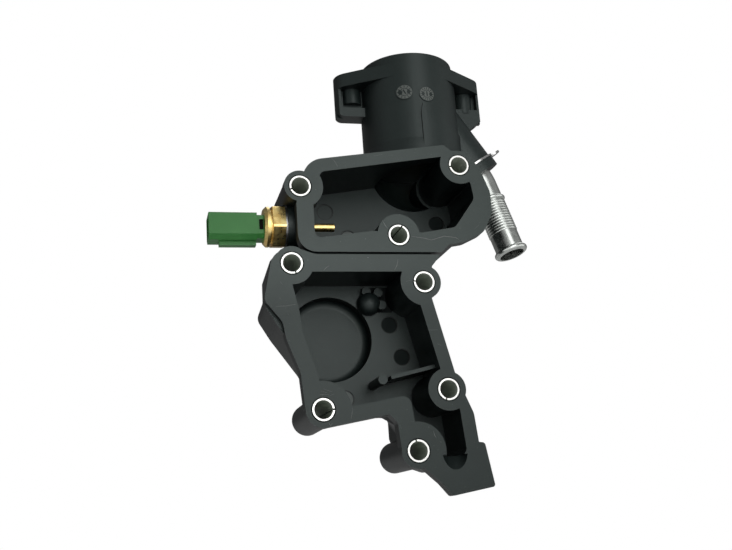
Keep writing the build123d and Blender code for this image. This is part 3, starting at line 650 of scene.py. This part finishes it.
def add_camera():
    """Camera at the photograph's fitted place, with its angle of view."""
    data = bpy.data.cameras.new("camera")
    data.sensor_width = SENSOR_WIDTH
    data.lens = FOCAL_PIXELS / IMAGE_WIDTH * SENSOR_WIDTH
    data.clip_start = CAMERA_NEAR
    camera = bpy.data.objects.new("camera", data)
    camera.matrix_world = look_from(CAMERA_PLACE, CAMERA_FORWARD, CAMERA_UP)
    bpy.context.scene.collection.objects.link(camera)
    bpy.context.scene.camera = camera


def add_lamp(name, place, size, power):
    """Round soft lamp that faces the part."""
    data = bpy.data.lights.new(name, "AREA")
    data.shape = "DISK"
    data.size = size
    data.energy = power
    lamp = bpy.data.objects.new(name, data)
    lamp.matrix_world = look_from(place, LAMPS_LOOK_AT - place, Vector((0, 0, 1)))
    bpy.context.scene.collection.objects.link(lamp)


def add_world():
    """Dim surroundings for light and reflections; the camera sees plain white."""
    world = bpy.data.worlds.new("studio")
    bpy.context.scene.world = world
    world.use_nodes = True
    tree = world.node_tree
    background = tree.nodes["Background"]
    background.inputs["Color"].default_value = (1, 1, 1, 1)
    direction = tree.nodes.new("ShaderNodeTexCoord")
    parts = tree.nodes.new("ShaderNodeSeparateXYZ")
    tree.links.new(direction.outputs["Generated"], parts.inputs[0])
    paths = tree.nodes.new("ShaderNodeLightPath")
    strength = None
    for ray, ends in WORLD_STRENGTHS.items():
        depth = tree.nodes.new("ShaderNodeMapRange")
        sockets = ("From Min", "From Max", "To Min", "To Max")
        for socket, value in zip(sockets, WORLD_TURN_Y + ends):
            depth.inputs[socket].default_value = value
        tree.links.new(parts.outputs["Y"], depth.inputs["Value"])
        if strength is None:
            strength = depth.outputs["Result"]
            continue
        seen = tree.nodes.new("ShaderNodeMix")
        tree.links.new(paths.outputs[ray], seen.inputs[0])
        tree.links.new(strength, seen.inputs[2])
        tree.links.new(depth.outputs["Result"], seen.inputs[3])
        strength = seen.outputs[0]
    tree.links.new(strength, background.inputs["Strength"])


def add_floor():
    """White floor, lit as a real one only near its shaded middle."""
    mesh = bpy.data.meshes.new("floor")
    corners = [(x * FLOOR_HALF, y * FLOOR_HALF, FLOOR_Z)
               for x, y in ((-1, -1), (1, -1), (1, 1), (-1, 1))]
    mesh.from_pydata(corners, [], [(0, 1, 2, 3)])
    floor = bpy.data.objects.new("floor", mesh)
    bpy.context.scene.collection.objects.link(floor)
    shader = Shader("floor", FLOOR_ROUGHNESS)
    shader.color((FLOOR_GREY, FLOOR_GREY, FLOOR_GREY, 1.0))
    across = shader.add("ShaderNodeVectorMath", operation="DISTANCE")
    shader.link(shader.place, across.inputs[0])
    across.inputs[1].default_value = SHADE_CENTRE
    white = shader.ramp(across.outputs["Value"], FLOOR_SHADE_R, FLOOR_WHITE_R, FLOOR_SHADE, 1.0)
    paths = shader.add("ShaderNodeLightPath").outputs
    reflected = shader.math("MAXIMUM", paths["Is Glossy Ray"], paths["Is Transmission Ray"])
    gloss = shader.ramp(shader.axis("Y"), *FLOOR_GLOSS_Y, *FLOOR_GLOSS)
    reflected = shader.math("MULTIPLY", reflected, gloss)
    seen = shader.math("MULTIPLY", shader.math("MAXIMUM", paths["Is Camera Ray"], reflected), white)
    glow = shader.add("ShaderNodeEmission")
    blend = shader.add("ShaderNodeMixShader")
    shader.link(seen, blend.inputs[0])
    shader.tree.links.new(shader.bsdf.outputs[0], blend.inputs[1])
    shader.tree.links.new(glow.outputs[0], blend.inputs[2])
    shader.tree.links.new(blend.outputs[0], shader.tree.nodes["Material Output"].inputs["Surface"])
    mesh.materials.append(shader.material)


def main():
    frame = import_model()
    materials = make_materials()
    dress_nodes(frame, materials)
    add_spring(frame, materials)
    add_dials(materials)
    add_scratches(materials)
    add_floor()
    add_world()
    for name, (place, size, power) in LAMPS.items():
        add_lamp(name, Vector(place), size, power)
    add_camera()
    bpy.context.scene.view_settings.view_transform = "Standard"


main()
